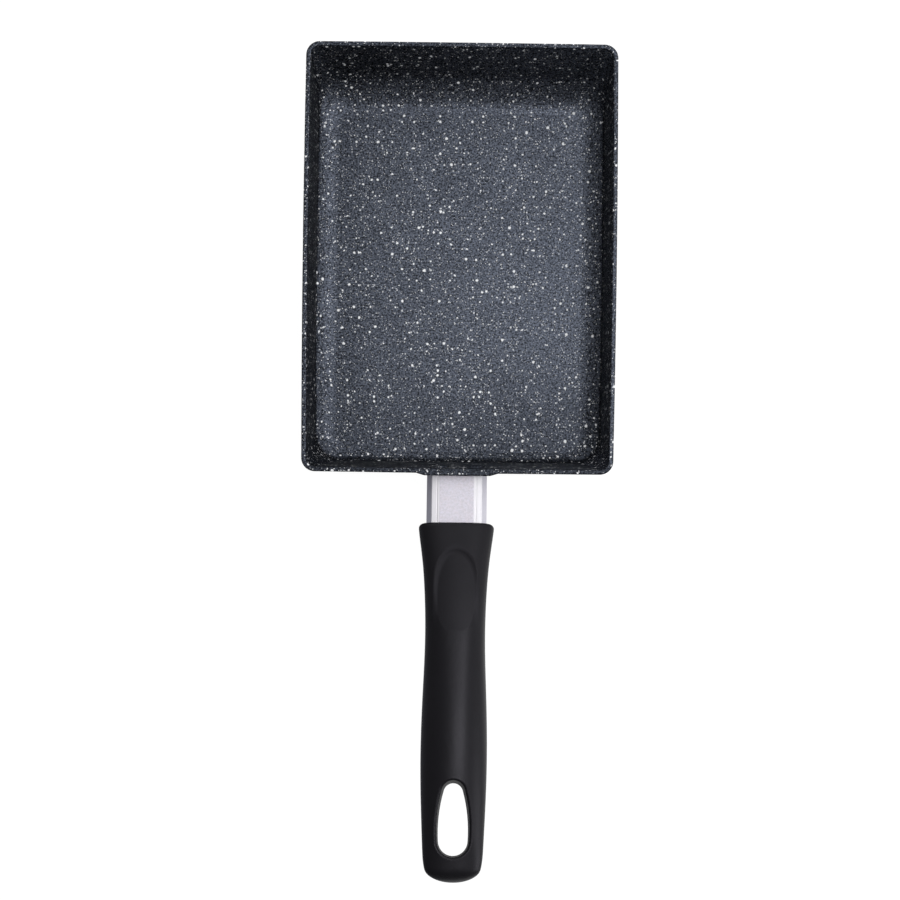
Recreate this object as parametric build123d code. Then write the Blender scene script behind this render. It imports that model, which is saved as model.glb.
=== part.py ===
from build123d import *
import os
from math import cos, pi, radians, sin, sqrt, tan

# Rectangular rolled-omelette pan with a moulded handle, built as the pieces it is put together from:
# a cast tray, a stamped steel bracket riveted to its near wall, a metal sleeve round the bracket,
# and a moulded grip that slides onto the bracket and is held by one screw from below.
#
# Millimetres and degrees. +Z is up, +Y points away from the handle, X is across the tray.
# Sizes of the rim are those of its sharp edge, before the edge is rounded.
# The origin is on the resting face, below the middle of the rim.
# The handle has a frame of its own: its axis runs along -Y of that frame, from the grip's front,
# and its +Z is the side that faces the thumb. A height in it is measured from the handle's axis.

# Tray
pan_length = 180.0          # rim, outside, at the middle
pan_width = 131.2           # rim, outside, at the middle
pan_height = 33.0           # from the resting face to the rim
wall = 2.0
floor_thickness = 3.4       # from the resting face
side_draft = 3.8            # lean of the two long walls
near_draft = 6.0            # lean of the wall that carries the handle
far_draft = 20.0            # lean of the far wall, laid back to turn the omelette out
side_bow = 0.5              # swell of each long wall at its middle
end_bow = 0.15              # swell of the near and far walls
rim_corner_radius = 5.5
base_corner_radius = 16.0
# Run and rise of the curve from the floor up into the walls, and its exponent: 2 is a quarter of an
# ellipse, less is straighter with a tighter turn into the wall.
side_sweep = (8.5, 2.8, 1.7)
near_sweep = (4.5, 5.0, 2.0)
far_sweep = (11.5, 9.5, 2.0)
# Heights of the outlines that the inside is drawn through, as shares of the highest rise
sweep_step_shares = (
    0, 0.01, 0.03, 0.06, 0.1, 0.15, 0.2, 0.25, 0.3, 0.36, 0.43, 0.51, 0.6, 0.7, 0.8, 0.9, 1
)
sweep_corner_share = 0.5    # of the run, by which the floor's corners are tighter
base_round = 6.5            # outside, where the underside turns up into the walls
rim_round = 0.5

# Pad under the tray, with pressed rings
pad_inset = 14.0            # from the foot of the walls to the edge of the pad
pad_height = 0.7
pad_corner_radius = 12.0
pad_edge_round = 0.3
groove_count = 4
groove_first = 6.0          # from the edge of the pad to the first ring
groove_pitch = 8.5
groove_width = 2.2
groove_depth = 0.35

# Mounting pad on the near wall
boss_width = 27.5
boss_proud = 1.0
boss_flank = 3.4            # width of each sloping side
boss_foot = 1.7             # height of its sloping lower end
boss_drop = 21.0            # from the rim down the wall
boss_round = 3.0

# Handle
neck_rise = 12.0            # climb of the handle away from the tray
neck_drop = 11.4            # from the rim down the mounting pad to the handle's axis
neck_length = 22.85         # along the axis, from the mounting pad to the grip

# Rivets
rivet_pitch = 15.0
rivet_drop = 8.3            # from the rim down the mounting pad
rivet_diameter = 4.0
rivet_clearance = 0.05
rivet_head_diameter = 8.4
rivet_head_height = 1.0
rivet_head_edge = 0.35
rivet_tail_diameter = 5.6
rivet_tail_height = 1.8
rivet_tail_round = 0.5

# Sleeve round the bracket
sleeve_width = 25.2
sleeve_height = 17.0
sleeve_wall = 1.4
sleeve_top_flat = 13.9
sleeve_bevel_width = 3.5    # of each sloping face beside the top flat
sleeve_bevel_drop = 0.6
sleeve_shoulder_drop = 4.6  # from the top to where the sides stand upright
sleeve_edge_round = 0.7
sleeve_bottom_round = 2.2
sleeve_entry = 5.0          # length that the grip swallows
sleeve_gap = 0.05           # between the sleeve and the mounting pad

# Stamped bracket
bracket_sheet = 2.0
bracket_gap = 0.3           # between the foot and the inside of the sleeve
foot_top_radius = 4.5       # of the foot's upper corners, which clear the sleeve's bevels
tang_width = 15.0
tang_level = -3.0           # height of the middle of the tang
tang_reach = 44.0           # into the grip
flange_top = 3.0            # height of the upper edge of its flanges
flange_setback = 9.0        # from the mounting pad to the start of the flanges
flange_run = 5.0            # length over which they rise
bend_round = 1.0            # inside each bend

# Screw, nut and washers
screw_diameter = 5.0
screw_at = 22.0             # from the front of the grip
screw_hole_diameter = 5.6
screw_head_diameter = 9.2
screw_head_height = 2.9
screw_head_round = 1.9
screw_point = 0.7
screw_past_nut = 0.6
cross_width = 1.1           # slots of the cross recess
cross_length = 4.6
cross_depth = 1.7
nut_size = 8.0
nut_height = 4.0
nut_edge = 0.5
thread_clearance = 0.05
washer_diameter = 10.0
washer_bore = 5.3
washer_thickness = 1.0
spring_washer_diameter = 8.6
spring_washer_bore = 5.2
spring_washer_thickness = 1.2
spring_washer_gap = 1.0
spring_washer_lean = 20.0   # of the cut through it
seat_diameter = 11.0        # recess in the grip for the head and washers
seat_wall = 2.8             # grip left above that recess

# Grip
grip_length = 145.65
grip_width = 31.75          # at its front
grip_top = 10.4             # height at its front
grip_bottom = 12.6          # depth below the axis at its front
grip_cap = 6.5              # length of the rounded end
grip_tip_drop = 2.4         # of the tip of that end, below the axis
grip_front_round = 1.6
section_points = 24
socket_gap = 0.15           # round the sleeve and the tang
# Place along the grip, and width, height and depth there, as shares of the sizes above,
# with the exponent of the cross-section: 2 is an ellipse, more is squarer.
grip_shares = (
    (0.000, 1.000, 1.000, 1.000, 3.6),
    (0.045, 0.953, 0.985, 0.980, 3.5),
    (0.100, 0.886, 0.960, 0.940, 3.3),
    (0.185, 0.820, 0.920, 0.890, 2.9),
    (0.330, 0.785, 0.890, 0.870, 2.45),
    (0.490, 0.829, 0.915, 0.930, 2.15),
    (0.640, 0.858, 0.890, 0.960, 2.05),
    (0.800, 0.826, 0.720, 0.850, 2.05),
    (0.900, 0.784, 0.540, 0.720, 2.1),
)
tail_width_share = 0.735    # where the rounded end starts
tail_top_share = 0.42
tail_bottom_share = 0.62
tail_power = 2.2
cap_step_shares = (0.25, 0.45, 0.63, 0.79, 0.92)    # of a quarter turn, round the end

# Thumb rest pressed into the top of the grip
thumb_at = 16.4             # from the front of the grip to the foot of its flank
thumb_width = 14.0          # between the feet of its flanks
thumb_arch = 12.5           # length of its half-elliptical front
thumb_length = 42.0
thumb_low_at = 30.0         # where its floor is lowest
thumb_low_level = 8.95
thumb_crown = 38.0          # radius of the floor across the grip
thumb_sweep = 350.0         # radius of the floor along the grip
thumb_slope = 62.0          # lean of its flanks
thumb_root = 1.0            # how far below the floor its flanks would meet their feet
thumb_floor_round = 2.5     # where the floor turns up into the flanks
thumb_edge_round = 2.0

# Hanging hole
hole_length = 28.8          # these four at its narrowest, halfway through
hole_front_radius = 4.0
hole_back_radius = 6.0
hole_side_radius = 60.0
hole_end_wall = 10.6        # from the hole to the end of the grip
hole_level = 0.0            # height at which it is narrowest
hole_draft = 8.0            # that its walls open by towards both faces
hole_round = 0.9            # of its lips

overrun = 1.0               # how far a cutter runs past what it cuts
contact = 0.01              # the most by which an edge may miss the surface or height it lies on

# Places that follow from the sizes above
wall_lean = radians(near_draft)
boss_plane = Plane(
    origin=(0, -pan_length / 2 - boss_proud / cos(wall_lean), pan_height),
    x_dir=(1, 0, 0),
    z_dir=(0, -cos(wall_lean), -sin(wall_lean)),
)
neck_root = boss_plane.from_local_coords((0, -neck_drop, 0))
neck_direction = Vector(0, -1, 0).rotate(Axis.X, -neck_rise)
handle = Location(neck_root + neck_direction * neck_length, (-neck_rise, 0, 0))
boss_to_cavity = boss_proud + wall * cos(wall_lean)
tang_underside = tang_level - bracket_sheet / 2
tang_topside = tang_level + bracket_sheet / 2
seat_level = tang_underside - socket_gap - seat_wall
head_level = seat_level - washer_thickness - spring_washer_thickness


def bowed_rectangle(half_width, near_y, far_y, corner_radius):
    """Rectangle with gently swollen sides and rounded corners. Its sizes are those at the middles."""
    side_x = half_width - side_bow
    near_corner, far_corner = near_y + end_bow, far_y - end_bow
    middle_y = (near_y + far_y) / 2
    with BuildSketch() as sketch:
        with BuildLine():
            ThreePointArc((side_x, near_corner), (half_width, middle_y), (side_x, far_corner))
            ThreePointArc((side_x, far_corner), (0, far_y), (-side_x, far_corner))
            ThreePointArc((-side_x, far_corner), (-half_width, middle_y), (-side_x, near_corner))
            ThreePointArc((-side_x, near_corner), (0, near_y), (side_x, near_corner))
        make_face()
        fillet(sketch.vertices(), corner_radius)
    return sketch.sketch


def tray_outline(z, inset=0, side=0, near=0, far=0):
    """Plan of the tray's outer surface at height z, drawn in by inset and by more on each side."""
    below_rim = pan_height - z
    corner_growth = (base_corner_radius - rim_corner_radius) / (pan_height - pad_height)
    tighter = sweep_corner_share * (side + far) / 2
    outline = bowed_rectangle(
        pan_width / 2 - below_rim * tan(radians(side_draft)) - inset - side,
        -pan_length / 2 + below_rim * tan(wall_lean) + inset + near,
        pan_length / 2 - below_rim * tan(radians(far_draft)) - inset - far,
        rim_corner_radius + corner_growth * below_rim - inset - tighter,
    )
    return outline.moved(Location((0, 0, z)))


def tray_outside():
    """Solid inside the tray's outer surface."""
    solid = loft([tray_outline(pad_height), tray_outline(pan_height)], ruled=True)
    return fillet(solid.faces().sort_by(Axis.Z)[0].edges(), base_round)


def sweep_inset(sweep, height):
    """How far the curve at the foot of a wall stands out from it at a height above the floor."""
    run, rise, power = sweep
    left = max(1 - height / rise, 0)
    return run * (1 - (1 - left**power) ** (1 / power))


def tray_cavity():
    """Cutter for the inside: a flat floor that sweeps up into the walls, widest at the far one."""
    swept = max(rise for run, rise, power in (side_sweep, near_sweep, far_sweep))
    outlines = [
        tray_outline(
            floor_thickness + height,
            wall,
            sweep_inset(side_sweep, height),
            sweep_inset(near_sweep, height),
            sweep_inset(far_sweep, height),
        )
        for height in [share * swept for share in sweep_step_shares]
    ]
    walls = loft([outlines[-1], tray_outline(pan_height + overrun, wall)], ruled=True)
    return loft(outlines) + walls


def pad_outline(inset):
    """Plan of the resting pad, drawn in by inset, at the height of the resting face."""
    below_rim = pan_height - pad_height
    foot = pad_inset + inset
    half_width = pan_width / 2 - below_rim * tan(radians(side_draft)) - foot
    near_y = -pan_length / 2 + below_rim * tan(wall_lean) + foot
    far_y = pan_length / 2 - below_rim * tan(radians(far_draft)) - foot
    corner = max(pad_corner_radius - inset, groove_width)
    sketch = RectangleRounded(2 * half_width, far_y - near_y, corner)
    return sketch.moved(Location((0, (near_y + far_y) / 2, 0)))


def resting_pad():
    """Flat raised pad that touches the stove, with pressed rings."""
    pad = extrude(pad_outline(0), floor_thickness - overrun)
    pad = fillet(pad.faces().sort_by(Axis.Z)[0].edges(), pad_edge_round)
    for ring in range(groove_count):
        inset = groove_first + ring * groove_pitch
        band = pad_outline(inset) - pad_outline(inset + groove_width)
        pad -= extrude(band, groove_depth)
    return pad


def mounting_pad():
    """Raised pad on the near wall, flush with the rim, that the bracket is riveted to."""
    root_depth = boss_proud + wall / 2
    spread = boss_flank * root_depth / boss_proud
    root_drop = boss_drop + boss_foot * root_depth / boss_proud
    run_up = Vector(0, overrun, 0)
    face = Rectangle(boss_width, boss_drop, align=(Align.CENTER, Align.MAX))
    root = Rectangle(boss_width + 2 * spread, root_drop, align=(Align.CENTER, Align.MAX))
    solid = loft([face.moved(Location(run_up)), root.moved(Location(run_up - Vector(0, 0, root_depth)))])
    solid = boss_plane.location * solid
    top = solid.bounding_box().max.Z
    above = Box(
        boss_width + 3 * spread,
        2 * root_depth + boss_drop,
        top - pan_height + overrun,
        align=(Align.CENTER, Align.CENTER, Align.MIN),
    )
    solid -= above.moved(Location((0, -pan_length / 2, pan_height)))
    outer = solid.faces().sort_by(Axis((0, 0, 0), boss_plane.z_dir))[-1]
    sides = outer.edges().sort_by(Axis.Z)[:-1]
    return fillet(sides, boss_round)


def on_boss(x, drop, depth=0):
    """Place on the mounting pad: across, down from the rim, and out from its face."""
    return boss_plane.location * Location((x, -drop, depth))


def rivet_places():
    return [on_boss(side * rivet_pitch / 2, rivet_drop) for side in (-1, 1)]


def pan_body():
    """Cast tray with its resting pad and mounting pad."""
    body = tray_outside()
    body += mounting_pad()
    body += resting_pad()
    body -= tray_cavity()
    rim = body.faces().filter_by(Plane.XY).sort_by(Axis.Z)[-1]
    body = fillet(rim.edges(), rim_round)
    hole_depth = boss_to_cavity + 2 * overrun
    for place in rivet_places():
        hole = Cylinder(rivet_diameter / 2 + rivet_clearance, hole_depth)
        body -= place * hole.moved(Location((0, 0, overrun - hole_depth / 2)))
    return body


def rivet():
    """Rivet with its domed head inside the tray and its upset tail on the bracket's foot."""
    seat = boss_to_cavity + rivet_clearance
    crown = rivet_head_height - rivet_head_edge
    head_radius, shank_radius, tail_radius = (
        rivet_head_diameter / 2,
        rivet_diameter / 2,
        rivet_tail_diameter / 2,
    )
    tail_start = bracket_sheet
    tail_end = bracket_sheet + rivet_tail_height
    with BuildSketch(Plane.XZ) as profile:
        with BuildLine():
            RadiusArc(
                (0, -seat - rivet_head_height),
                (head_radius, -seat - rivet_head_edge),
                -(head_radius**2 + crown**2) / (2 * crown),
            )
            Polyline(
                (head_radius, -seat - rivet_head_edge),
                (head_radius, -seat),
                (shank_radius, -seat),
                (shank_radius, tail_start),
                (tail_radius, tail_start),
                (tail_radius, tail_end - rivet_tail_round),
                (tail_radius - rivet_tail_round, tail_end),
                (0, tail_end),
                (0, -seat - rivet_head_height),
            )
        make_face()
    return revolve(profile.sketch, Axis.Z)


def sleeve_outline(grow=0):
    """Cross-section of the sleeve: flat top, two sloping faces each side, rounded bottom corners."""
    top, half_flat = sleeve_height / 2, sleeve_top_flat / 2
    half_bevel = half_flat + sleeve_bevel_width
    right = [
        (half_flat, top),
        (half_bevel, top - sleeve_bevel_drop),
        (sleeve_width / 2, top - sleeve_shoulder_drop),
        (sleeve_width / 2, -top),
    ]
    left = [(-x, z) for x, z in reversed(right)]
    outline = make_face(Polyline(*right, *left, close=True))
    low = outline.vertices().sort_by(Axis.Y)
    outline = fillet(low[:2], sleeve_bottom_round)
    high = outline.vertices().filter_by(lambda v: v.Y > 0)
    outline = fillet(high, sleeve_edge_round)
    return offset(outline, grow) if grow else outline


def along_handle(sketch, start, end):
    """Prism of a cross-section drawn in X and height, between two places along the handle."""
    section = Plane.XZ.location * sketch
    return extrude(section.moved(Location((0, -start, 0))), end - start, dir=(0, -1, 0))


def clear_of_boss(solid, gap):
    """Trim what is drawn past the mounting pad, leaving a gap to its face."""
    reach = neck_length + sleeve_height
    block = Box(2 * boss_width, 2 * reach, 2 * reach, align=(Align.CENTER, Align.CENTER, Align.MAX))
    return solid - on_boss(0, 0, gap) * block


def flame_guard():
    """Metal sleeve between the tray and the grip, mitred to the mounting pad."""
    ring = sleeve_outline() - sleeve_outline(-sleeve_wall)
    sleeve = along_handle(ring, -neck_length - sleeve_height, sleeve_entry)
    return clear_of_boss(handle * sleeve, sleeve_gap)


def handle_bracket():
    """Stamped bracket: a foot on the mounting pad, bent into a channel that reaches into the grip."""
    slant = radians(near_draft + neck_rise)
    middle = bracket_sheet / 2
    bend_radius = bend_round + middle
    bend_along = -neck_length + (middle + tang_level * sin(slant)) / cos(slant)
    bend_drop = neck_drop - (bend_along + neck_length) * sin(slant) - tang_level * cos(slant)
    bend_reach = bend_radius / tan((pi / 2 - slant) / 2)
    foot_top = neck_drop - (sleeve_height / 2 - sleeve_wall) / cos(slant) + bracket_gap
    foot_end = bend_drop - bend_reach
    foot_length = bend_drop - foot_top

    # The bent strip, drawn from the side: distance along the handle and height.
    side = Plane(origin=(0, 0, 0), x_dir=(0, -1, 0), z_dir=(-1, 0, 0))
    path = FilletPolyline(
        (bend_along + foot_length * sin(slant), tang_level + foot_length * cos(slant)),
        (bend_along, tang_level),
        (tang_reach, tang_level),
        radius=bend_radius,
    )
    strip = extrude(side.location * trace(path, bracket_sheet), tang_width / 2, both=True)

    # Its two flanges, which rise over a short ramp.
    flange_start = flange_setback - neck_length
    flange_side = make_face(
        Polyline(
            (flange_start, tang_underside),
            (flange_start, tang_topside),
            (flange_start + flange_run, flange_top),
            (tang_reach, flange_top),
            (tang_reach, tang_underside),
            close=True,
        )
    )
    flange = extrude(side.location * flange_side, middle, both=True)
    across = (tang_width - bracket_sheet) / 2
    tang = strip + flange.moved(Location((across, 0, 0))) + flange.moved(Location((-across, 0, 0)))
    corners = tang.edges().filter_by(Axis.Y).group_by(Axis.Z)[0]
    tang = fillet(corners, bend_round)
    tang -= Location((0, -screw_at, tang_level)) * Cylinder(screw_hole_diameter / 2, 2 * bracket_sheet)

    foot_width = sleeve_width - 2 * (sleeve_wall + bracket_gap)
    foot_outline = Rectangle(foot_width, foot_end - foot_top)
    foot_corners = foot_outline.vertices().sort_by(Axis.Y)
    foot_outline = fillet(foot_corners[2:], foot_top_radius)
    foot = on_boss(0, (foot_top + foot_end) / 2) * extrude(foot_outline, bracket_sheet)
    bracket = handle * tang + foot
    for place in rivet_places():
        bracket -= place * Cylinder(rivet_diameter / 2 + rivet_clearance, 2 * bracket_sheet + overrun)
    return bracket


def weld_nut():
    """Square nut welded on top of the tang."""
    nut = Box(nut_size, nut_size, nut_height, align=(Align.CENTER, Align.CENTER, Align.MIN))
    nut = chamfer(nut.faces().sort_by(Axis.Z)[-1].edges(), nut_edge)
    nut -= Cylinder(screw_diameter / 2 + thread_clearance, 2 * nut_height + overrun)
    return handle * nut.moved(Location((0, -screw_at, tang_topside)))


def screw_place(height):
    return handle * Location((0, -screw_at, height))


def handle_screw():
    """Pan-head screw that goes up through the grip and the tang into the nut."""
    head = Cylinder(
        screw_head_diameter / 2, screw_head_height, align=(Align.CENTER, Align.CENTER, Align.MAX)
    )
    head = fillet(head.faces().sort_by(Axis.Z)[0].edges(), screw_head_round)
    slot = Box(cross_length, cross_width, cross_depth, align=(Align.CENTER, Align.CENTER, Align.MIN))
    slot = slot.moved(Location((0, 0, -screw_head_height)))
    head -= slot + slot.rotate(Axis.Z, 90)
    shank_length = tang_topside + nut_height + screw_past_nut - head_level
    shank = Cylinder(screw_diameter / 2, shank_length, align=(Align.CENTER, Align.CENTER, Align.MIN))
    shank = chamfer(shank.faces().sort_by(Axis.Z)[-1].edges(), screw_point)
    return screw_place(head_level) * (head + shank)


def ring(outer_diameter, bore, thickness):
    """Flat ring that hangs down from the height where it is placed."""
    face = Circle(outer_diameter / 2) - Circle(bore / 2)
    return extrude(face, -thickness)


def flat_washer():
    """Washer against the grip."""
    return screw_place(seat_level) * ring(washer_diameter, washer_bore, washer_thickness)


def spring_washer():
    """Split washer under the screw's head, cut through on a slant."""
    washer = ring(spring_washer_diameter, spring_washer_bore, spring_washer_thickness)
    cut = Box(spring_washer_diameter, spring_washer_gap, 4 * spring_washer_thickness)
    cut = cut.moved(Location((spring_washer_diameter / 2, 0, 0), (spring_washer_lean, 0, 0)))
    return screw_place(seat_level - washer_thickness) * (washer - cut)


def grip_section(along, half_width, level, up, down, power):
    """Closed cross-section of the grip, a superellipse that is taller or flatter above its middle."""
    points = []
    for step in range(section_points):
        turn = 2 * pi * step / section_points
        across, rise = cos(turn), sin(turn)
        reach = up if rise > 0 else down
        x = half_width * abs(across) ** (2 / power) * (1 if across > 0 else -1)
        z = level + reach * abs(rise) ** (2 / power) * (1 if rise > 0 else -1)
        points.append((x, -along, z))
    return Face(Wire([Spline(*points, periodic=True)]))


def grip_form():
    """Outer form of the grip, from its square front to its rounded end."""
    half_width = grip_width / 2
    sections = [
        grip_section(
            at * grip_length, width * half_width, 0, top * grip_top, bottom * grip_bottom, power
        )
        for at, width, top, bottom, power in grip_shares
    ]
    cap_start = grip_length - grip_cap
    for share in (0, *cap_step_shares):
        closing, reach = cos(share * pi / 2), sin(share * pi / 2)
        sections.append(
            grip_section(
                cap_start + grip_cap * reach,
                tail_width_share * half_width * closing,
                -grip_tip_drop * (1 - closing),
                tail_top_share * grip_top * closing,
                tail_bottom_share * grip_bottom * closing,
                tail_power,
            )
        )
    form = loft([*sections, Vertex(0, -grip_length, -grip_tip_drop)])
    return fillet(form.faces().sort_by(Axis.Y)[-1].edges(), grip_front_round)


def thumb_outline(grow):
    """Plan of the thumb rest, grown outwards: a half-ellipse that runs on towards the tail."""
    half_width = thumb_width / 2 + grow
    arch_y, end_y = -thumb_at - thumb_arch, -thumb_at - thumb_length
    return make_face(
        EllipticalCenterArc((0, arch_y), half_width, thumb_arch + grow, start_angle=0, arc_size=180)
        + Polyline((-half_width, arch_y), (-half_width, end_y), (half_width, end_y), (half_width, arch_y))
    )


def thumb_rest():
    """Cutter for the thumb rest: sloping flanks round a floor that is crowned and gently dished."""
    low = thumb_low_level - (thumb_width / 2) ** 2 / (2 * thumb_crown) - thumb_root
    high = grip_top + overrun
    foot = thumb_outline(0).moved(Location((0, 0, low)))
    mouth = thumb_outline((high - low) * tan(radians(thumb_slope))).moved(Location((0, 0, high)))
    saddle = Torus(thumb_sweep + thumb_crown, thumb_crown, rotation=(0, 90, 0))
    saddle = saddle.moved(Location((0, -thumb_low_at, thumb_low_level + thumb_sweep)))
    cutter = loft([foot, mouth], ruled=True) - saddle
    floor = cutter.faces().filter_by(GeomType.TORUS).sort_by(SortBy.AREA)[-1]
    turns = floor.edges().sort_by(Axis.Y)[1:]
    return fillet(turns, thumb_floor_round)


def hole_outline():
    """Egg-shaped outline of the hanging hole: two end arcs joined by long side arcs, all tangent."""
    front = Vector(0, hole_length + hole_end_wall - grip_length - hole_front_radius)
    back = Vector(0, hole_end_wall - grip_length + hole_back_radius)
    to_front, to_back = hole_side_radius - hole_front_radius, hole_side_radius - hole_back_radius
    apart = front.Y - back.Y
    along = (to_front**2 - to_back**2 + apart**2) / (2 * apart)
    centre = front - Vector(sqrt(to_front**2 - along**2), along)
    front_touch = centre + (front - centre).normalized() * hole_side_radius
    back_touch = centre + (back - centre).normalized() * hole_side_radius
    middle = centre + Vector(hole_side_radius, 0)

    def mirrored(point):
        return Vector(-point.X, point.Y)

    front_tip = front + Vector(0, hole_front_radius)
    back_tip = back - Vector(0, hole_back_radius)
    return make_face(
        [
            ThreePointArc(mirrored(front_touch), front_tip, front_touch),
            ThreePointArc(front_touch, middle, back_touch),
            ThreePointArc(back_touch, back_tip, mirrored(back_touch)),
            ThreePointArc(mirrored(back_touch), mirrored(middle), mirrored(front_touch)),
        ]
    )


def hanging_hole():
    """Cutter for the hanging hole, narrowest halfway through."""
    outline = hole_outline().moved(Location((0, 0, hole_level)))
    reach = grip_bottom + overrun
    upper = extrude(outline, reach, taper=-hole_draft)
    lower = extrude(outline, -reach, taper=-hole_draft)
    return upper + lower


def handle_grip():
    """Moulded grip, with a socket for the sleeve and the tang, a screw recess and a hanging hole."""
    form = grip_form()
    grip = form - hanging_hole()
    rims = new_edges(form, combined=grip).filter_by(
        lambda edge: edge.bounding_box().min.Z > hole_level + hole_round
        or edge.bounding_box().max.Z < hole_level - hole_round
    )
    whole = fillet(rims, hole_round)
    grip = whole - thumb_rest()
    skin = form.faces()
    edges = new_edges(whole, combined=grip).filter_by(
        lambda edge: skin.sort_by_distance(edge.center())[0].distance_to(edge.center()) < contact
    )
    grip = fillet(edges, thumb_edge_round)
    sleeve_pocket = along_handle(sleeve_outline(socket_gap), -overrun, sleeve_entry + socket_gap)
    tang_pocket_sketch = Rectangle(
        tang_width + 2 * socket_gap,
        flange_top - tang_underside + 2 * socket_gap,
        align=(Align.CENTER, Align.MIN),
    ).moved(Location((0, tang_underside - socket_gap)))
    tang_pocket = along_handle(tang_pocket_sketch, -overrun, tang_reach + socket_gap)
    seat_depth = seat_level + grip_bottom + overrun
    seat = Cylinder(seat_diameter / 2, seat_depth, align=(Align.CENTER, Align.CENTER, Align.MAX))
    screw_hole = Cylinder(screw_hole_diameter / 2, 2 * seat_wall + overrun)
    place = Location((0, -screw_at, seat_level))
    grip = grip - sleeve_pocket - tang_pocket - place * seat - place * screw_hole
    return handle * grip


def main():
    os.makedirs("parts", exist_ok=True)
    left, right = (place * rivet() for place in rivet_places())
    parts = {
        "pan_body": pan_body(),
        "rivet_left": left,
        "rivet_right": right,
        "handle_bracket": handle_bracket(),
        "flame_guard": flame_guard(),
        "weld_nut": weld_nut(),
        "flat_washer": flat_washer(),
        "spring_washer": spring_washer(),
        "handle_screw": handle_screw(),
        "handle_grip": handle_grip(),
    }
    for name, solid in parts.items():
        export_step(solid, f"parts/{name}.step")


main()
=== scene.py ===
from math import cos, pi, radians, sin

import bpy
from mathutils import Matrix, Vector

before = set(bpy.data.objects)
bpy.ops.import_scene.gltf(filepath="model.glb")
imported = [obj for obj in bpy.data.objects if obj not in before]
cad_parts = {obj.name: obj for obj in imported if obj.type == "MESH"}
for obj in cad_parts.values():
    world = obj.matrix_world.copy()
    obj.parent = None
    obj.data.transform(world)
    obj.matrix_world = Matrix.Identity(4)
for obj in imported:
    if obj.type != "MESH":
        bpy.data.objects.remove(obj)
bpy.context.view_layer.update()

# Rectangular rolled-omelette pan: its finishes, the studio round it and the camera above it.
# Metres in the frame of the parts: +Z up, +Y away from the handle, the origin under the tray.

MM = 0.001

# What the photograph gives, in its own pixels
IMAGE_SIDE = 900
RIM_CENTRE_PIXEL = (459.8, 257.6)
RIM_LENGTH_PIXELS = 431.8
IMAGE_TURN = 0.72           # degrees that the pan leans clockwise

# Tray
rim_length = 180 * MM
rim_height = 33 * MM
rim_edge_low = rim_height - 1.2 * MM    # the rim's painted shade comes in between these two levels
rim_edge_high = rim_height - 0.3 * MM
near_rim = -88.0 * MM
near_rim_depth = 4 * MM
wall_foot = 6 * MM          # the walls' painted light and shade comes in between these two levels
wall_start = 14 * MM
floor_near_edge = -85 * MM  # the floor's painted shade along its near edge fades out from here to floor_near_end
floor_near_end = -25 * MM
floor_left_edge = -52 * MM  # and its painted shade along the left edge from here to floor_left_end
floor_left_end = -28 * MM
floor_half_middle = 30 * MM     # how far the near edge's painted shade shifts, either side of the middle
tray_half_width = 50 * MM
pad_face_above = 0.1 * MM   # everything lower is the face that rests on the stove
inside_tray = -88.5 * MM    # the rivets' heads lie beyond this, their tails before it

# Sleeve, measured from its middle
sleeve_flat_edge = 6.95 * MM    # edge of its flat top
sleeve_flat_fade = 0.5 * MM
sleeve_line = 8.2 * MM      # the line along each sloping face
sleeve_line_core = 0.05 * MM
sleeve_line_reach = 0.35 * MM
sleeve_side_start = 10.25 * MM  # the foot of the sloping face lies between these two
sleeve_side_end = 10.85 * MM

# Grip
thumb_arch_foot = -140.4 * MM   # where the thumb rest's half-elliptical front starts
thumb_arch_ratio = 2.3      # length of that front to its half width
thumb_edge_fade = 14 * MM   # the rest's edge fades out this far behind its front
thumb_floor_edge = 7.9 * MM     # from its middle to the edge of its floor
thumb_mouth_edge = 9.0 * MM     # from its middle to its outer edge
thumb_edge_outer_soft = 0.8 * MM
thumb_edge_inner_soft = 0.2 * MM
dull_start = -165 * MM      # the grip grows duller from here to dull_end
dull_end = -128 * MM
hole_half_width = 9 * MM    # these three lie just clear of the hanging hole
hole_front = -212 * MM
hole_back = -248 * MM

# Tests of a face's direction by the Z of its normal
FACES_DOWN = -0.99
STANDS_UPRIGHT = 0.5

# Studio
camera_over_rim = 0.70
sensor_side = 36            # millimetres, as Blender measures a sensor
floor_side = 8.0
lamp_target = (0, -0.06, 0.03)
white_strength = 1.1
shadow_share = 0.12         # part of the floor's own shading that the camera still sees


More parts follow.
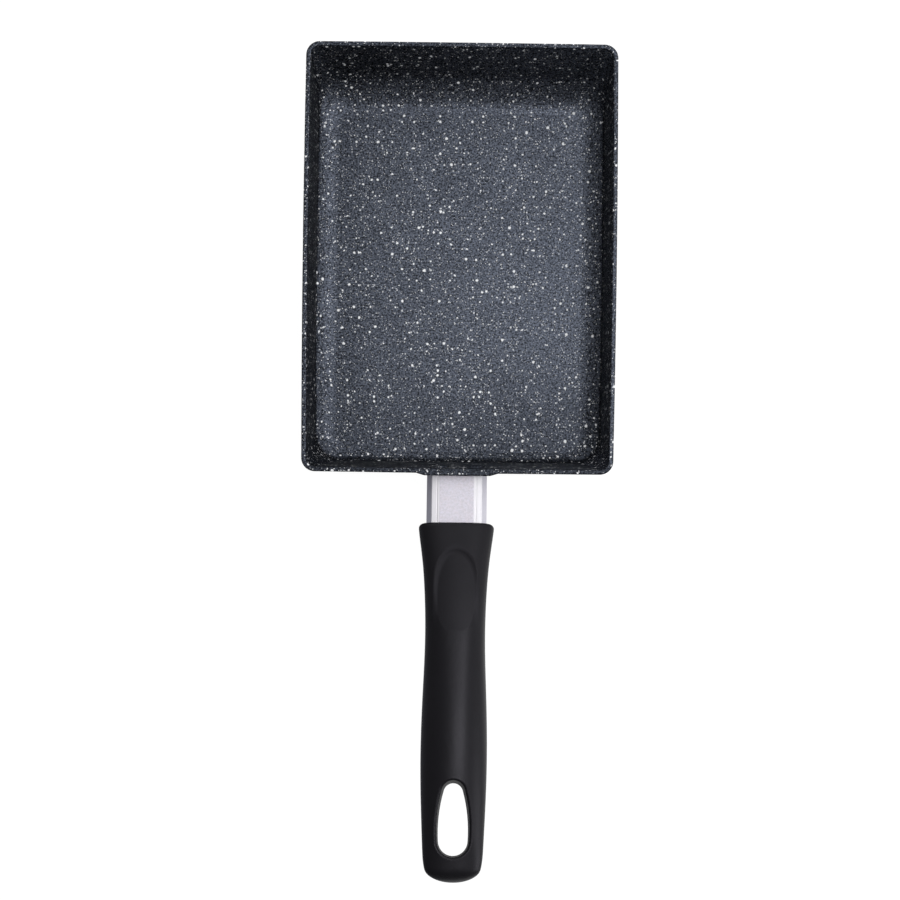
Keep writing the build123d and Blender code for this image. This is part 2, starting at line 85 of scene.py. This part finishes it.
class Shading:
    """Short ways to add nodes to one material or world."""

    def __init__(self, tree):
        self.tree = tree

    def add(self, kind, links=None, **settings):
        """One node. Each link is an input's name or number, with a socket or a plain value."""
        node = self.tree.nodes.new("ShaderNode" + kind)
        for name, value in settings.items():
            setattr(node, name, value)
        for name, value in (links or {}).items():
            self.feed(node.inputs[name], value)
        return node

    def feed(self, socket, value):
        if isinstance(value, bpy.types.NodeSocket):
            self.tree.links.new(value, socket)
        else:
            socket.default_value = value

    def math(self, operation, a, b=0.0, c=0.0, clamp=False):
        node = self.add("Math", {0: a, 1: b, 2: c}, operation=operation, use_clamp=clamp)
        return node.outputs[0]

    def times(self, a, b):
        return self.math("MULTIPLY", a, b)

    def vector(self, operation, a, b=(0, 0, 0)):
        node = self.add("VectorMath", {0: a, 1: b}, operation=operation)
        return node.outputs[0]

    def scaled(self, vector, factor):
        node = self.add("VectorMath", {0: vector, "Scale": factor}, operation="SCALE")
        return node.outputs[0]

    def axes(self, place):
        """Across, along and up of a place or direction."""
        return self.add("SeparateXYZ", {0: place}).outputs

    def ramp(self, value, start, end, low=0.0, high=1.0):
        """Smooth step from low to high as value goes from start to end."""
        node = self.add(
            "MapRange",
            {"Value": value, "From Min": start, "From Max": end, "To Min": low, "To Max": high},
            interpolation_type="SMOOTHSTEP",
        )
        return node.outputs[0]

    def noise(self, place, size, detail=2.0, roughness=0.5):
        """Noise from 0 to 1 whose lumps are about that size in metres."""
        return self.add(
            "TexNoise",
            {"Vector": place, "Scale": 1 / size, "Detail": detail, "Roughness": roughness},
        ).outputs["Fac"]

    def mix(self, share, a, b):
        """Colour a where share is 0 and colour b where it is 1."""
        node = self.add("Mix", {0: share}, data_type="RGBA")
        self.feed(node.inputs[6], a)
        self.feed(node.inputs[7], b)
        return node.outputs[2]

    def blend(self, share, a, b):
        """Number a where share is 0 and number b where it is 1."""
        return self.add("Mix", {0: share, 2: a, 3: b}).outputs[0]

    def bump(self, height, depth, under=None):
        """Relief: height runs from 0 to 1 and depth is in metres."""
        node = self.add("Bump", {"Height": height, "Distance": depth, "Strength": 1.0})
        if under is not None:
            self.feed(node.inputs["Normal"], under)
        return node.outputs[0]


def material(name):
    """A new material with its nodes, its shader and the place on the object in metres."""
    made = bpy.data.materials.new(name)
    made.use_nodes = True
    nodes = Shading(made.node_tree)
    shader = made.node_tree.nodes["Principled BSDF"]
    place = nodes.add("TexCoord").outputs["Object"]
    return made, nodes, shader, place


def scattered_dots(nodes, place, cell, share, smallest, largest, faintest, seed):
    """Round dots, at most one to a cell, from 0 to 1. A share of the cells has one, each of its
    own size and strength. Sizes are radii in metres."""
    edge_share = 0.28
    seed_step = Vector((0.37, 0.71, 0.13))
    small_dot_bias = 2.0
    shifted = nodes.vector("ADD", place, seed * seed_step)
    cells = nodes.add(
        "TexVoronoi", {"Vector": shifted, "Scale": 1 / cell, "Randomness": 1.0}, feature="F1"
    )
    chance = nodes.add("SeparateColor", {"Color": cells.outputs["Color"]})
    size_draw = nodes.math("POWER", chance.outputs[0], small_dot_bias)
    radius = nodes.math("MULTIPLY_ADD", size_draw, (largest - smallest) / cell, smallest / cell)
    inner = nodes.times(radius, 1 - edge_share)
    dot = nodes.ramp(cells.outputs["Distance"], radius, inner)
    present = nodes.math("LESS_THAN", chance.outputs[1], share)
    strength = nodes.math("MULTIPLY_ADD", chance.outputs[2], 1 - faintest, faintest)
    return nodes.times(nodes.times(dot, present), strength)


def speck_layers(nodes, place):
    """Pale specks of three sizes. Their outlines are pulled about so that few are round."""
    pull_size, pull_reach = 0.9 * MM, 0.70 * MM
    pull = nodes.add(
        "TexNoise", {"Vector": place, "Scale": 1 / pull_size, "Detail": 1.0}
    ).outputs["Color"]
    pull = nodes.vector("SUBTRACT", pull, (0.5, 0.5, 0.5))
    pulled = nodes.vector("ADD", place, nodes.scaled(pull, pull_reach))
    # Cell, share of cells, smallest and largest radius, faintest strength
    sizes = (
        (0.66 * MM, 0.36, 0.14 * MM, 0.27 * MM, 0.3),
        (1.35 * MM, 0.27, 0.27 * MM, 0.48 * MM, 0.45),
        (2.3 * MM, 0.32, 0.42 * MM, 0.76 * MM, 0.9),
    )
    layers = [
        scattered_dots(nodes, pulled, *size, seed) for seed, size in enumerate(sizes, start=1)
    ]
    specks = layers[0]
    for layer in layers[1:]:
        specks = nodes.math("MAXIMUM", specks, layer)
    return specks


def painted_coating_shading(nodes, place):
    """Painted light and shade on the coating: the floor darker towards its near and left edges,
    the walls darker on the left and lighter on the right, and the rim duller, darkest along the
    near rim.
    """
    across, along, height = nodes.axes(place)
    near_edge_painted_shade = nodes.ramp(across, -floor_half_middle, floor_half_middle, 0.84, 0.66)
    floor_painted_shade = nodes.times(
        nodes.ramp(along, floor_near_edge, floor_near_end, near_edge_painted_shade, 1.0),
        nodes.ramp(across, floor_left_edge, floor_left_end, 0.88, 1.0),
    )
    wall_painted_light_and_shade = nodes.ramp(across, -tray_half_width, tray_half_width, 0.70, 1.35)
    tone = nodes.blend(nodes.ramp(height, wall_foot, wall_start), floor_painted_shade, wall_painted_light_and_shade)
    rim_painted_shade = nodes.ramp(along, near_rim, near_rim + near_rim_depth, 0.48, 0.75)
    return nodes.blend(nodes.ramp(height, rim_edge_low, rim_edge_high), tone, rim_painted_shade)


def coating():
    """Dark non-stick coating with a fine mottled grain, pale specks of every size, and painted
    light and shade on its floor edges, walls and rim.
    """
    paint_colour = (0.0622, 0.0700, 0.0892)
    speck_colour = (0.97, 0.98, 1.0, 1)
    metal_share = 0.85
    speck_tone_on_walls = 0.9
    relief_depth = 0.02 * MM

    made, nodes, shader, place = material("coating")
    specks = speck_layers(nodes, place)
    grain = nodes.noise(place, 0.70 * MM)
    patches = nodes.noise(place, 14 * MM)
    tone = nodes.ramp(grain, 0.33, 0.67, 0.16, 1.84)
    tone = nodes.times(tone, nodes.ramp(patches, 0.3, 0.7, 0.94, 1.06))
    # Painted light and shade of the floor's edges, walls and rim, laid over the grain's own tone
    tone = nodes.times(tone, painted_coating_shading(nodes, place))
    height = nodes.axes(place)[2]
    on_wall = nodes.ramp(height, wall_foot, wall_start, 1.0, speck_tone_on_walls)
    specks = nodes.times(specks, on_wall)
    paint = nodes.scaled(paint_colour, tone)
    nodes.feed(shader.inputs["Base Color"], nodes.mix(specks, paint, speck_colour))
    metal = nodes.math("MULTIPLY_ADD", specks, -metal_share, metal_share, clamp=True)
    nodes.feed(shader.inputs["Metallic"], metal)
    nodes.feed(shader.inputs["Roughness"], nodes.ramp(grain, 0.25, 0.75, 0.38, 0.48))
    shader.inputs["Specular Tint"].default_value = (0.03, 0.03, 0.03, 1)
    relief = nodes.bump(grain, relief_depth)
    nodes.feed(shader.inputs["Normal"], nodes.bump(specks, relief_depth, relief))
    return made


def blasted_aluminium():
    """Pale blasted metal of the sleeve: mottled on its flat top, smoother beside it, with a fine
    line scored along each sloping face. Its upright sides are painted darker, as painted shade."""
    flat_colours = (0.81, 0.765, 0.81, 1), (0.775, 0.775, 0.845, 1)
    slope_colour = (0.91, 0.90, 0.93, 1)
    # The upright sides' darker colour is painted shade.
    side_painted_shade_colour = (0.70, 0.69, 0.76, 1)
    side_polish = 0.32      # how much smoother its sides are

    made, nodes, shader, place = material("blasted_aluminium")
    aside = nodes.math("ABSOLUTE", nodes.axes(place)[0])
    top = nodes.ramp(aside, sleeve_flat_edge, sleeve_flat_edge + sleeve_flat_fade, 1.0, 0.0)
    grain = nodes.noise(place, 0.9 * MM, 3.0, 0.7)
    hue = nodes.noise(place, 2.2 * MM, 2.0, 0.6)
    shade = nodes.ramp(grain, 0.3, 0.7, 0.88, 1.08)
    flat = nodes.scaled(nodes.mix(hue, *flat_colours), shade)
    side = nodes.ramp(aside, sleeve_side_start, sleeve_side_end)
    beside_flat_with_painted_shade = nodes.mix(side, slope_colour, side_painted_shade_colour)
    nodes.feed(shader.inputs["Base Color"], nodes.mix(top, beside_flat_with_painted_shade, flat))
    shader.inputs["Metallic"].default_value = 1.0
    rough = nodes.ramp(grain, 0.3, 0.7, 0.70, 0.82)
    rough = nodes.math("MULTIPLY_ADD", side, -side_polish, rough)
    nodes.feed(shader.inputs["Roughness"], rough)
    off_line = nodes.math("ABSOLUTE", nodes.math("SUBTRACT", aside, sleeve_line))
    line = nodes.ramp(off_line, sleeve_line_core, sleeve_line_reach)
    relief = nodes.bump(grain, 0.01 * MM)
    nodes.feed(shader.inputs["Normal"], nodes.bump(line, 0.12 * MM, relief))
    return made


def cutter_arcs(nodes, place):
    """Relief of the fine arcs that a facing cutter leaves."""
    arc_pitch = 1.6 * MM
    return nodes.add(
        "TexWave",
        {"Vector": place, "Scale": 1 / arc_pitch, "Distortion": 0.6,
         "Detail": 2.0, "Detail Scale": 0.4},
        wave_type="RINGS", rings_direction="Z",
    ).outputs["Fac"]


def bare_metal(name, colour, grain, shades, roughness, depth, blotch_size=None, relief=None):
    """Plain metal. Its shade follows the blotches and its surface the relief, and where it has
    none, they follow the grain."""
    made, nodes, shader, place = material(name)
    grain = nodes.noise(place, *grain)
    blotch = nodes.noise(place, blotch_size) if blotch_size else grain
    shade = nodes.ramp(blotch, 0.3, 0.7, *shades)
    nodes.feed(shader.inputs["Base Color"], nodes.scaled(colour, shade))
    shader.inputs["Metallic"].default_value = 1.0
    nodes.feed(shader.inputs["Roughness"], nodes.ramp(grain, 0.3, 0.7, *roughness))
    height = relief(nodes, place) if relief else grain
    nodes.feed(shader.inputs["Normal"], nodes.bump(height, depth))
    return made


def satin_aluminium():
    """Bare satin metal of the rivets' shanks and tails."""
    return bare_metal(
        "satin_aluminium", colour=(0.66, 0.66, 0.68), grain=(0.5 * MM, 3.0, 0.7),
        shades=(0.93, 1.05), roughness=(0.34, 0.46), depth=0.01 * MM,
    )


def bare_steel():
    """Plain zinc-plated steel of the bracket, the nut, the screw and the washers."""
    return bare_metal(
        "bare_steel", colour=(0.56, 0.57, 0.58), grain=(0.8 * MM, 4.0, 0.6),
        shades=(0.85, 1.1), roughness=(0.28, 0.42), depth=0.006 * MM, blotch_size=6 * MM,
    )


def machined_aluminium():
    """Bare resting face under the tray, with the fine arcs of the cutter that faced it."""
    return bare_metal(
        "machined_aluminium", colour=(0.62, 0.62, 0.63), grain=(0.5 * MM, 3.0, 0.7),
        shades=(0.9, 1.05), roughness=(0.30, 0.40), depth=0.01 * MM, relief=cutter_arcs,
    )


def thumb_edge(nodes, across, along):
    """1 on the sloping edge round the thumb rest, which fades out behind its front."""
    ahead = nodes.math("MAXIMUM", nodes.math("SUBTRACT", along, thumb_arch_foot), 0.0)
    ahead = nodes.math("DIVIDE", ahead, thumb_arch_ratio)
    radius = nodes.add("CombineXYZ", {0: across, 1: ahead}).outputs[0]
    radius = nodes.add("VectorMath", {0: radius}, operation="LENGTH").outputs["Value"]
    outside = nodes.ramp(
        radius, thumb_floor_edge - thumb_edge_outer_soft, thumb_floor_edge + thumb_edge_inner_soft
    )
    inside = nodes.ramp(
        radius, thumb_mouth_edge + thumb_edge_outer_soft, thumb_mouth_edge - thumb_edge_inner_soft
    )
    edge = nodes.times(outside, inside)
    return nodes.times(edge, nodes.ramp(along, thumb_arch_foot - thumb_edge_fade, thumb_arch_foot))


def moulded_plastic(name, shine):
    """Matt black moulded plastic of the grip, with the fine grain of its mould. The sloping edge
    round the thumb rest is duller and painted a little paler, painted light that lifts its shade,
    and the grip's upper half duller."""
    black = (0.0042, 0.0040, 0.0052, 1)
    # Paler colour on the thumb rest's sloping edge: painted light that lifts its shade.
    edge_painted_light_colour = (0.0125, 0.0120, 0.0145, 1)
    edge_dullness = 0.12
    upper_dullness = 0.16

    made, nodes, shader, place = material(name)
    grain = nodes.noise(place, 0.35 * MM, 3.0, 0.6)
    cloud = nodes.noise(place, 9 * MM, 3.0, 0.5)
    across, along, _ = nodes.axes(place)
    edge = thumb_edge(nodes, across, along)
    shade = nodes.ramp(cloud, 0.3, 0.7, 0.9, 1.1)
    base = nodes.mix(edge, black, edge_painted_light_colour)
    nodes.feed(shader.inputs["Base Color"], nodes.scaled(base, shade))
    rough = nodes.ramp(grain, 0.3, 0.7, 0.34, 0.42)
    upper = nodes.ramp(along, dull_start, dull_end, 0.0, upper_dullness)
    rough = nodes.math("ADD", rough, upper)
    rough = nodes.math("MULTIPLY_ADD", edge, edge_dullness, rough)
    nodes.feed(shader.inputs["Roughness"], rough)
    shader.inputs["Specular IOR Level"].default_value = shine
    shader.inputs["Specular Tint"].default_value = (0.92, 0.90, 1.0, 1)
    nodes.feed(shader.inputs["Normal"], nodes.bump(grain, 0.012 * MM))
    return made


def dress():
    """Gives every part its finish. A part with two has the second where its test holds."""
    # The hanging hole's walls get a copy of the plastic with far less sheen: painted shade that
    # darkens them.
    grip_shine, hole_painted_shade_shine = 0.24, 0.04
    coat, steel, aluminium = coating(), bare_steel(), satin_aluminium()
    finishes = {
        "pan_body": coat,
        "rivet_left": aluminium,
        "rivet_right": aluminium,
        "handle_bracket": steel,
        "flame_guard": blasted_aluminium(),
        "weld_nut": steel,
        "flat_washer": steel,
        "spring_washer": steel,
        "handle_screw": steel,
        "handle_grip": moulded_plastic("moulded_plastic", grip_shine),
    }
    for name, finish in finishes.items():
        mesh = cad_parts[name].data
        mesh.materials.clear()
        mesh.materials.append(finish)

    def second_finish(name, finish, test):
        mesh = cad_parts[name].data
        mesh.materials.append(finish)
        for face in mesh.polygons:
            if test(face):
                face.material_index = 1

    def is_resting_face(face):
        return face.normal.z < FACES_DOWN and face.center.z < pad_face_above

    def is_hole_wall(face):
        upright = abs(face.normal.z) < STANDS_UPRIGHT
        in_width = abs(face.center.x) < hole_half_width
        return upright and in_width and hole_back < face.center.y < hole_front

    def is_rivet_head(face):
        return face.center.y > inside_tray

    second_finish("pan_body", machined_aluminium(), is_resting_face)
    # Painted shade: the hole's walls take the duller copy of the plastic.
    second_finish("handle_grip", moulded_plastic("hole_plastic_painted_shade", hole_painted_shade_shine), is_hole_wall)
    for name in ("rivet_left", "rivet_right"):
        second_finish(name, coat, is_rivet_head)


def softbox(name, direction, distance, width, length, radiance):
    """Rectangular lamp aimed between the tray's middle and its handle. Direction points from there
    to the lamp."""
    lamp = bpy.data.lights.new(name, "AREA")
    lamp.shape = "RECTANGLE"
    lamp.size = width
    lamp.size_y = length
    lamp.energy = radiance * pi * width * length
    box = bpy.data.objects.new(name, lamp)
    bpy.context.scene.collection.objects.link(box)
    direction = Vector(direction).normalized()
    box.location = Vector(lamp_target) + direction * distance
    box.rotation_euler = direction.to_track_quat("Z", "Y").to_euler()
    box.visible_camera = False


def floor_material():
    """White to the camera with the object's shadow in it. Metal and plastic show it darker on the
    left, as the photograph's do: painted shade in their reflections."""
    pure_white = (1, 1, 1, 1)
    # dark is the painted shade that metal and plastic see in the floor on the left.
    pale, dark = (0.9, 0.9, 0.9, 1), (0.25, 0.26, 0.30, 1)

    made = bpy.data.materials.new("studio_floor")
    made.use_nodes = True
    made.node_tree.nodes.clear()
    nodes = Shading(made.node_tree)
    path = nodes.add("LightPath").outputs
    across = nodes.axes(nodes.add("TexCoord").outputs["Object"])[0]
    # Reflections see less of the white on the left and a dark floor there: painted shade in
    # reflections.
    reflected_white_with_painted_shade = nodes.times(path["Is Glossy Ray"], nodes.ramp(across, -0.06, 0.10, 0.12, 0.85))
    seen = nodes.math("MAXIMUM", path["Is Camera Ray"], reflected_white_with_painted_shade)
    seen = nodes.math("MAXIMUM", seen, path["Is Transmission Ray"])
    painted_shade_left = nodes.times(path["Is Glossy Ray"], nodes.ramp(across, 0.02, -0.04))
    plain = nodes.add("BsdfDiffuse", {"Color": nodes.mix(painted_shade_left, pale, dark)}).outputs[0]
    white = nodes.add("Emission", {"Color": pure_white, "Strength": white_strength}).outputs[0]
    share = nodes.times(seen, 1 - shadow_share)
    surface = nodes.add("MixShader", {0: share, 1: plain, 2: white}).outputs[0]
    nodes.add("OutputMaterial", {"Surface": surface})
    return made


def surroundings():
    """World that is white to the camera and plain to the object, darker on the left and towards
    the handle and lighter beyond the far wall."""
    pure_white = (1, 1, 1, 1)

    world = bpy.data.worlds.new("studio")
    world.use_nodes = True
    world.node_tree.nodes.clear()
    bpy.context.scene.world = world
    nodes = Shading(world.node_tree)
    path = nodes.add("LightPath").outputs
    across, along, _ = nodes.axes(nodes.add("TexCoord").outputs["Generated"])
    level = nodes.ramp(across, -0.7, 0.9, 0.35, 0.78)
    level = nodes.times(level, nodes.ramp(along, -0.6, 0.5, 0.5, 1.15))
    level = nodes.times(level, nodes.ramp(along, 0.45, 0.95, 1.0, 2.6))
    around = nodes.add("Background", {"Color": pure_white, "Strength": level}).outputs[0]
    white = nodes.add("Background", {"Color": pure_white, "Strength": 1.0}).outputs[0]
    surface = nodes.add(
        "MixShader", {0: path["Is Camera Ray"], 1: around, 2: white}
    ).outputs[0]
    nodes.add("OutputWorld", {"Surface": surface})


def studio():
    """Floor, surroundings and two soft lamps."""
    mesh = bpy.data.meshes.new("studio_floor")
    half = floor_side / 2
    corners = [(-half, -half, 0), (half, -half, 0), (half, half, 0), (-half, half, 0)]
    mesh.from_pydata(corners, [], [(0, 1, 2, 3)])
    floor = bpy.data.objects.new("studio_floor", mesh)
    bpy.context.scene.collection.objects.link(floor)
    mesh.materials.append(floor_material())
    surroundings()
    softbox(
        "overhead", direction=(0.225, 0.09, 1), distance=1.5, width=0.28, length=0.64,
        radiance=10.6,
    )
    softbox(
        "side", direction=(1.0, -0.35, 0.5), distance=1.4, width=0.5, length=0.8, radiance=3.3
    )


def camera():
    """Camera straight above, placed so that the rim falls where it does in the photograph."""
    pixel = rim_length / RIM_LENGTH_PIXELS
    middle = IMAGE_SIDE / 2
    right = (RIM_CENTRE_PIXEL[0] - middle) * pixel
    up = (middle - RIM_CENTRE_PIXEL[1]) * pixel
    turn = radians(IMAGE_TURN)
    data = bpy.data.cameras.new("camera")
    data.sensor_width = sensor_side
    data.lens = data.sensor_width * camera_over_rim / (IMAGE_SIDE * pixel)
    made = bpy.data.objects.new("camera", data)
    bpy.context.scene.collection.objects.link(made)
    made.location = (
        -(right * cos(turn) - up * sin(turn)),
        -(right * sin(turn) + up * cos(turn)),
        rim_height + camera_over_rim,
    )
    made.rotation_euler = (0, 0, turn)
    bpy.context.scene.camera = made


dress()
studio()
camera()
bpy.context.scene.view_settings.view_transform = "Standard"
